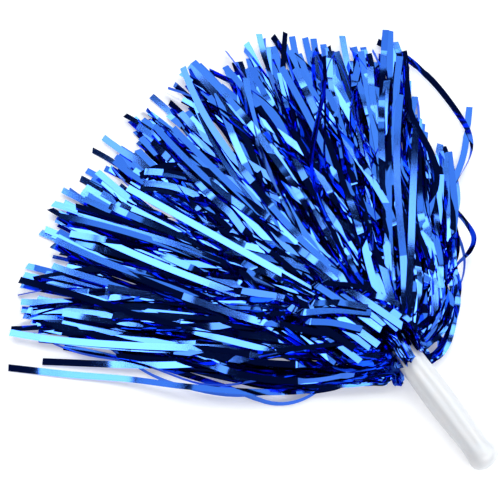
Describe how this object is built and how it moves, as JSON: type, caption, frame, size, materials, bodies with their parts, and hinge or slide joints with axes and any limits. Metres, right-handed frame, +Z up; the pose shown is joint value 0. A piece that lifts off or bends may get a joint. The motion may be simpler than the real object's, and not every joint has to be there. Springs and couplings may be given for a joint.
{
  "type": "cheer pom pom",
  "caption": "Stick-handled cheer pom pom: a hollow frosted plastic grip with a rounded pommel and a wide fan of narrow metallic foil streamers rooted in its mouth.",
  "frame": {"origin": "middle of the base of the whole object as it lies on a flat surface", "axes": "+Z up from the surface; the handle points back along -Y and the plume fans out over +Y"},
  "size_m": [0.4632, 0.415, 0.047],
  "materials": {
    "handle_plastic": "frosted white, satin",
    "plug_plastic": "plain moulded",
    "foil": "thin metallised plastic film, mirror-like with a fine grain",
    "tape": "thin adhesive tape",
    "wire": "drawn wire"
  },
  "bodies": {
    "handle": {"handle_shell": "handle_plastic", "core_plug": "plug_plastic", "foil_header_1": "foil", "foil_header_2": "foil", "foil_header_3": "foil", "foil_header_4": "foil", "foil_header_5": "foil", "header_tape": "tape", "tie_wire": "wire"},
    "plume_neck": {"neck_gather": "foil", "left_fold_back": "foil", "right_fold_back": "foil"},
    "floor_lock_1": {"floor_lock_1": "foil"},
    "floor_lock_2": {"floor_lock_2": "foil"},
    "floor_lock_3": {"floor_lock_3": "foil"},
    "floor_lock_4": {"floor_lock_4": "foil"},
    "floor_lock_5": {"floor_lock_5": "foil"},
    "floor_lock_6": {"floor_lock_6": "foil"},
    "floor_lock_7": {"floor_lock_7": "foil"},
    "floor_lock_8": {"floor_lock_8": "foil"},
    "middle_lock_1": {"middle_lock_1": "foil"},
    "middle_lock_2": {"middle_lock_2": "foil"},
    "middle_lock_3": {"middle_lock_3": "foil"},
    "middle_lock_4": {"middle_lock_4": "foil"},
    "middle_lock_5": {"middle_lock_5": "foil"},
    "middle_lock_6": {"middle_lock_6": "foil"},
    "crown_lock_1": {"crown_lock_1": "foil"},
    "crown_lock_2": {"crown_lock_2": "foil"},
    "crown_lock_3": {"crown_lock_3": "foil"},
    "crown_lock_4": {"crown_lock_4": "foil"},
    "crown_lock_5": {"crown_lock_5": "foil"},
    "stray_left_inner": {"stray_left_inner": "foil"},
    "stray_left_outer": {"stray_left_outer": "foil"},
    "stray_right_inner": {"stray_right_inner": "foil"},
    "stray_right_outer": {"stray_right_outer": "foil"}
  },
  "joints": [
    {"name": "plume_sway", "type": "hinge", "parent": "handle", "child": "plume_neck", "pos_m": [0.03345, -0.09436, 0.02589], "axis": [0, 0, 1], "range_deg": [-18, 18]},
    {"name": "fan_spread", "type": "hinge", "parent": "plume_neck", "child": "floor_lock_1", "pos_m": [0.03345, -0.09436, 0.02589], "axis": [0, 0, 1], "range_deg": [-4, 12]},
    {"name": "floor_lock_2_swing", "type": "hinge", "parent": "plume_neck", "child": "floor_lock_2", "pos_m": [0.03345, -0.09436, 0.02589], "axis": [0, 0, 1], "range_deg": [-2.87, 8.58]},
    {"name": "floor_lock_3_swing", "type": "hinge", "parent": "plume_neck", "child": "floor_lock_3", "pos_m": [0.03345, -0.09436, 0.02589], "axis": [0, 0, 1], "range_deg": [-1.72, 5.15]},
    {"name": "floor_lock_4_swing", "type": "hinge", "parent": "plume_neck", "child": "floor_lock_4", "pos_m": [0.03345, -0.09436, 0.02589], "axis": [0, 0, 1], "range_deg": [-0.58, 1.72]},
    {"name": "floor_lock_5_swing", "type": "hinge", "parent": "plume_neck", "child": "floor_lock_5", "pos_m": [0.03345, -0.09436, 0.02589], "axis": [0, 0, 1], "range_deg": [-1.72, 0.58]},
    {"name": "floor_lock_6_swing", "type": "hinge", "parent": "plume_neck", "child": "floor_lock_6", "pos_m": [0.03345, -0.09436, 0.02589], "axis": [0, 0, 1], "range_deg": [-5.15, 1.72]},
    {"name": "floor_lock_7_swing", "type": "hinge", "parent": "plume_neck", "child": "floor_lock_7", "pos_m": [0.03345, -0.09436, 0.02589], "axis": [0, 0, 1], "range_deg": [-8.58, 2.87]},
    {"name": "floor_lock_8_swing", "type": "hinge", "parent": "plume_neck", "child": "floor_lock_8", "pos_m": [0.03345, -0.09436, 0.02589], "axis": [0, 0, 1], "range_deg": [-12.01, 4.01]},
    {"name": "stray_left_inner_swing", "type": "hinge", "parent": "plume_neck", "child": "stray_left_inner", "pos_m": [0.03345, -0.09436, 0.02589], "axis": [0, 0, 1], "range_deg": [-4.85, 14.54]},
    {"name": "stray_left_outer_swing", "type": "hinge", "parent": "plume_neck", "child": "stray_left_outer", "pos_m": [0.03345, -0.09436, 0.02589], "axis": [0, 0, 1], "range_deg": [-5.3, 15.88]},
    {"name": "stray_right_inner_swing", "type": "hinge", "parent": "plume_neck", "child": "stray_right_inner", "pos_m": [0.03345, -0.09436, 0.02589], "axis": [0, 0, 1], "range_deg": [-14.54, 4.85]},
    {"name": "stray_right_outer_swing", "type": "hinge", "parent": "plume_neck", "child": "stray_right_outer", "pos_m": [0.03345, -0.09436, 0.02589], "axis": [0, 0, 1], "range_deg": [-16.01, 5.34]},
    {"name": "plume_lift", "type": "hinge", "parent": "plume_neck", "child": "crown_lock_3", "pos_m": [0.03345, -0.07436, 0.02589], "axis": [1, 0, 0], "range_deg": [0, 38]},
    {"name": "crown_lock_1_lift", "type": "hinge", "parent": "plume_neck", "child": "crown_lock_1", "pos_m": [0.02087, -0.07882, 0.02589], "axis": [0.7771, 0.6293, 0], "range_deg": [0, 38]},
    {"name": "crown_lock_2_lift", "type": "hinge", "parent": "plume_neck", "child": "crown_lock_2", "pos_m": [0.02678, -0.07551, 0.02589], "axis": [0.9426, 0.3338, 0], "range_deg": [0, 38]},
    {"name": "crown_lock_4_lift", "type": "hinge", "parent": "plume_neck", "child": "crown_lock_4", "pos_m": [0.04013, -0.07551, 0.02589], "axis": [0.9426, -0.3338, 0], "range_deg": [0, 38]},
    {"name": "crown_lock_5_lift", "type": "hinge", "parent": "plume_neck", "child": "crown_lock_5", "pos_m": [0.04604, -0.07882, 0.02589], "axis": [0.7771, -0.6293, 0], "range_deg": [0, 38]},
    {"name": "middle_lock_1_lift", "type": "hinge", "parent": "plume_neck", "child": "middle_lock_1", "pos_m": [0.01981, -0.07973, 0.02589], "axis": [0.7314, 0.682, 0], "range_deg": [0, 19]},
    {"name": "middle_lock_2_lift", "type": "hinge", "parent": "plume_neck", "child": "middle_lock_2", "pos_m": [0.02475, -0.07635, 0.02589], "axis": [0.9003, 0.4352, 0], "range_deg": [0, 19]},
    {"name": "middle_lock_3_lift", "type": "hinge", "parent": "plume_neck", "child": "middle_lock_3", "pos_m": [0.03046, -0.07458, 0.02589], "axis": [0.9888, 0.1495, 0], "range_deg": [0, 19]},
    {"name": "middle_lock_4_lift", "type": "hinge", "parent": "plume_neck", "child": "middle_lock_4", "pos_m": [0.03644, -0.07458, 0.02589], "axis": [0.9888, -0.1495, 0], "range_deg": [0, 19]},
    {"name": "middle_lock_5_lift", "type": "hinge", "parent": "plume_neck", "child": "middle_lock_5", "pos_m": [0.04216, -0.07635, 0.02589], "axis": [0.9003, -0.4352, 0], "range_deg": [0, 19]},
    {"name": "middle_lock_6_lift", "type": "hinge", "parent": "plume_neck", "child": "middle_lock_6", "pos_m": [0.04709, -0.07973, 0.02589], "axis": [0.7314, -0.682, 0], "range_deg": [0, 19]}
  ],
  "couplings": [
    {"joint": "floor_lock_2_swing", "follows": "fan_spread", "ratio": 0.71429},
    {"joint": "floor_lock_3_swing", "follows": "fan_spread", "ratio": 0.42857},
    {"joint": "floor_lock_4_swing", "follows": "fan_spread", "ratio": 0.14286},
    {"joint": "floor_lock_5_swing", "follows": "fan_spread", "ratio": -0.14286},
    {"joint": "floor_lock_6_swing", "follows": "fan_spread", "ratio": -0.42857},
    {"joint": "floor_lock_7_swing", "follows": "fan_spread", "ratio": -0.71429},
    {"joint": "floor_lock_8_swing", "follows": "fan_spread", "ratio": -1},
    {"joint": "stray_left_inner_swing", "follows": "fan_spread", "ratio": 1.2111},
    {"joint": "stray_left_outer_swing", "follows": "fan_spread", "ratio": 1.3222},
    {"joint": "stray_right_inner_swing", "follows": "fan_spread", "ratio": -1.2111},
    {"joint": "stray_right_outer_swing", "follows": "fan_spread", "ratio": -1.3333},
    {"joint": "crown_lock_1_lift", "follows": "plume_lift", "ratio": 1},
    {"joint": "crown_lock_2_lift", "follows": "plume_lift", "ratio": 1},
    {"joint": "crown_lock_4_lift", "follows": "plume_lift", "ratio": 1},
    {"joint": "crown_lock_5_lift", "follows": "plume_lift", "ratio": 1},
    {"joint": "middle_lock_1_lift", "follows": "plume_lift", "ratio": 0.5},
    {"joint": "middle_lock_2_lift", "follows": "plume_lift", "ratio": 0.5},
    {"joint": "middle_lock_3_lift", "follows": "plume_lift", "ratio": 0.5},
    {"joint": "middle_lock_4_lift", "follows": "plume_lift", "ratio": 0.5},
    {"joint": "middle_lock_5_lift", "follows": "plume_lift", "ratio": 0.5},
    {"joint": "middle_lock_6_lift", "follows": "plume_lift", "ratio": 0.5}
  ]
}
